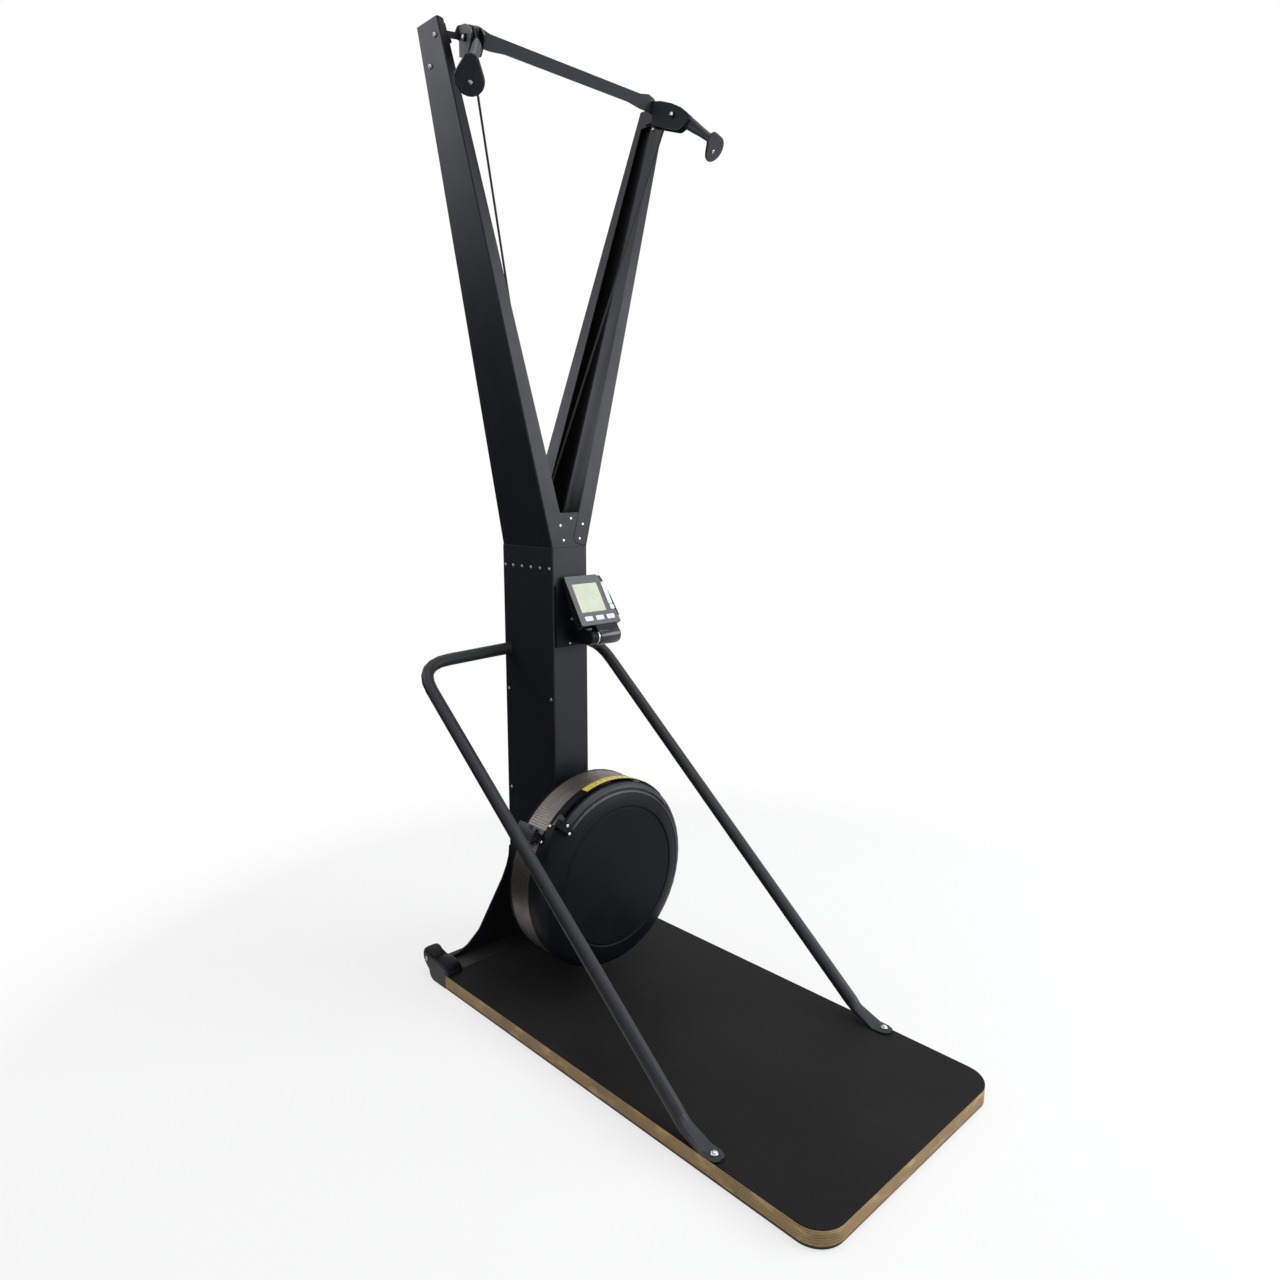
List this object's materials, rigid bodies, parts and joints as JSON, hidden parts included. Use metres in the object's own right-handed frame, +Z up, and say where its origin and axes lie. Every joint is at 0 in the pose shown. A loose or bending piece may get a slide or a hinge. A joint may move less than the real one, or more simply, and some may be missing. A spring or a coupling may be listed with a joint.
{
  "type": "ski ergometer",
  "caption": "Standing ski machine: a column that opens into a V of two arms on a plywood deck, with an air flywheel drum, console, handrails and corded pull handles.",
  "frame": {"origin": "centre of the overall box at floor level", "axes": "+Z up, +Y from the user towards the column, +X to the user's right"},
  "size_m": [0.7261, 1.248, 2.161],
  "materials": {
    "powder_coat": "fine-textured black powder coat",
    "dark_plastic": "moulded black plastic, light grain",
    "handle_plastic": "blue-black satin plastic",
    "band_steel": "grey perforated cage band",
    "zinc": "bright zinc",
    "bare_steel": "ground steel",
    "cast_aluminium": "as cast",
    "plywood": "bare plywood edge with visible plies",
    "deck_sheet": "matt non-slip sheet",
    "deck_rubber": "matt rubber",
    "wheel_rubber": "matt rubber",
    "cord": "braided black cord",
    "scale_yellow": "yellow label strip with plain numbers",
    "console_grey": "grey moulded plastic",
    "screen": "pale green display window",
    "key_white": "white key caps"
  },
  "bodies": {
    "frame": {"deck_underlay": "deck_rubber", "deck_board": "plywood", "deck_top_sheet": "deck_sheet", "rear_beam": "powder_coat", "flared_brace": "powder_coat", "column_shell": "powder_coat", "column_rear_cover": "powder_coat", "arm_left": "powder_coat", "arm_right": "powder_coat", "joint_plate": "powder_coat", "crossbar": "powder_coat", "pulley_housing_left": "powder_coat", "pulley_housing_right": "powder_coat", "pulley_pin_left": "zinc", "pulley_pin_right": "zinc", "guide_bracket": "powder_coat", "guide_pin_left": "bare_steel", "guide_pin_right": "bare_steel", "drive_cord_left": "cord", "drive_cord_right": "cord", "pull_cord_left": "cord", "pull_cord_right": "cord", "front_bearing": "cast_aluminium", "rear_bearing": "cast_aluminium", "drum_rear_shell": "dark_plastic", "drum_band": "band_steel", "drum_front_cover": "dark_plastic", "damper_scale": "scale_yellow", "band_clamp": "dark_plastic", "drum_mount_plate": "powder_coat", "console_mount": "dark_plastic", "rail_left": "powder_coat", "rail_right": "powder_coat", "rail_bolt_left": "zinc", "rail_bolt_right": "zinc", "wheel_bracket_left": "powder_coat", "wheel_bracket_right": "powder_coat"},
    "flywheel": {"flywheel_fan": "cast_aluminium", "flywheel_axle": "bare_steel"},
    "spool_left": {"clutch_spool_left": "dark_plastic"},
    "spool_right": {"clutch_spool_right": "dark_plastic"},
    "guide_wheel_left": {"guide_pulley_left": "dark_plastic"},
    "guide_wheel_right": {"guide_pulley_right": "dark_plastic"},
    "top_wheel_left": {"top_pulley_left": "dark_plastic"},
    "top_wheel_right": {"top_pulley_right": "dark_plastic"},
    "handle_left": {"handle_grip_left": "handle_plastic", "handle_plate_left": "handle_plastic"},
    "handle_right": {"handle_grip_right": "handle_plastic", "handle_plate_right": "handle_plastic"},
    "damper": {"damper_ring": "dark_plastic"},
    "console": {"console_housing": "console_grey", "console_screen": "screen", "console_pivot_tube": "dark_plastic"},
    "button_left": {"console_button_left": "key_white"},
    "button_middle": {"console_button_middle": "key_white"},
    "button_right": {"console_button_right": "key_white"},
    "side_key": {"console_side_key": "key_white"},
    "small_key": {"console_small_key": "key_white"},
    "transport_wheel_left": {"wheel_left": "wheel_rubber"},
    "transport_wheel_right": {"wheel_right": "wheel_rubber"}
  },
  "joints": [
    {"name": "handle_left_pull", "type": "slide", "parent": "frame", "child": "handle_left", "axis": [-0.171, -0.4698, -0.866], "range_m": [0, 1.2], "stiffness_N_per_m": 15, "springref_m": -0.3, "deforming": ["pull_cord_left"]},
    {"name": "handle_right_pull", "type": "slide", "parent": "frame", "child": "handle_right", "axis": [0.171, -0.4698, -0.866], "range_m": [0, 1.2], "stiffness_N_per_m": 15, "springref_m": -0.3, "deforming": ["pull_cord_right"]},
    {"name": "top_pulley_left_spin", "type": "hinge", "parent": "frame", "child": "top_wheel_left", "pos_m": [-0.28507, 0.30562, 2.11], "axis": [0.9397, -0.342, 0], "continuous": true},
    {"name": "top_pulley_right_spin", "type": "hinge", "parent": "frame", "child": "top_wheel_right", "pos_m": [0.28507, 0.30562, 2.11], "axis": [0.9397, 0.342, 0], "continuous": true},
    {"name": "guide_pulley_left_spin", "type": "hinge", "parent": "frame", "child": "guide_wheel_left", "pos_m": [-0.03, 0.445, 1.14], "axis": [0, 1, 0], "continuous": true},
    {"name": "guide_pulley_right_spin", "type": "hinge", "parent": "frame", "child": "guide_wheel_right", "pos_m": [-0.006, 0.469, 1.14], "axis": [0, 1, 0], "continuous": true},
    {"name": "spool_left_spin", "type": "hinge", "parent": "frame", "child": "spool_left", "pos_m": [0, 0.445, 0.312], "axis": [0, 1, 0], "continuous": true},
    {"name": "spool_right_spin", "type": "hinge", "parent": "frame", "child": "spool_right", "pos_m": [0, 0.469, 0.312], "axis": [0, 1, 0], "continuous": true},
    {"name": "flywheel_spin", "type": "hinge", "parent": "frame", "child": "flywheel", "pos_m": [0, 0.294, 0.312], "axis": [0, 1, 0], "continuous": true},
    {"name": "damper_turn", "type": "hinge", "parent": "frame", "child": "damper", "pos_m": [0, 0.226, 0.312], "axis": [0, 1, 0], "range_deg": [0, 92]},
    {"name": "console_tilt", "type": "hinge", "parent": "frame", "child": "console", "pos_m": [0.06, 0.307, 0.883], "axis": [1, 0, 0], "range_deg": [0, 35]},
    {"name": "button_left_press", "type": "slide", "parent": "console", "child": "button_left", "axis": [0, 0.8572, -0.515], "range_m": [0, 0.0015], "stiffness_N_per_m": 400, "springref_m": -0.0005},
    {"name": "button_middle_press", "type": "slide", "parent": "console", "child": "button_middle", "axis": [0, 0.8572, -0.515], "range_m": [0, 0.0015], "stiffness_N_per_m": 400, "springref_m": -0.0005},
    {"name": "button_right_press", "type": "slide", "parent": "console", "child": "button_right", "axis": [0, 0.8572, -0.515], "range_m": [0, 0.0015], "stiffness_N_per_m": 400, "springref_m": -0.0005},
    {"name": "side_key_press", "type": "slide", "parent": "console", "child": "side_key", "axis": [0, 0.8572, -0.515], "range_m": [0, 0.0015], "stiffness_N_per_m": 400, "springref_m": -0.0005},
    {"name": "small_key_press", "type": "slide", "parent": "console", "child": "small_key", "axis": [0, 0.8572, -0.515], "range_m": [0, 0.0015], "stiffness_N_per_m": 400, "springref_m": -0.0005},
    {"name": "wheel_left_spin", "type": "hinge", "parent": "frame", "child": "transport_wheel_left", "pos_m": [-0.2784, 0.597, 0.051], "axis": [1, 0, 0], "continuous": true},
    {"name": "wheel_right_spin", "type": "hinge", "parent": "frame", "child": "transport_wheel_right", "pos_m": [0.2784, 0.597, 0.051], "axis": [1, 0, 0], "continuous": true}
  ],
  "couplings": [
    {"joint": "top_pulley_left_spin", "follows": "handle_left_pull", "rad_per_m": 50},
    {"joint": "guide_pulley_left_spin", "follows": "handle_left_pull", "rad_per_m": -83.333},
    {"joint": "spool_left_spin", "follows": "handle_left_pull", "rad_per_m": 55.556},
    {"joint": "top_pulley_right_spin", "follows": "handle_right_pull", "rad_per_m": 50},
    {"joint": "guide_pulley_right_spin", "follows": "handle_right_pull", "rad_per_m": 83.333},
    {"joint": "spool_right_spin", "follows": "handle_right_pull", "rad_per_m": 55.556}
  ]
}
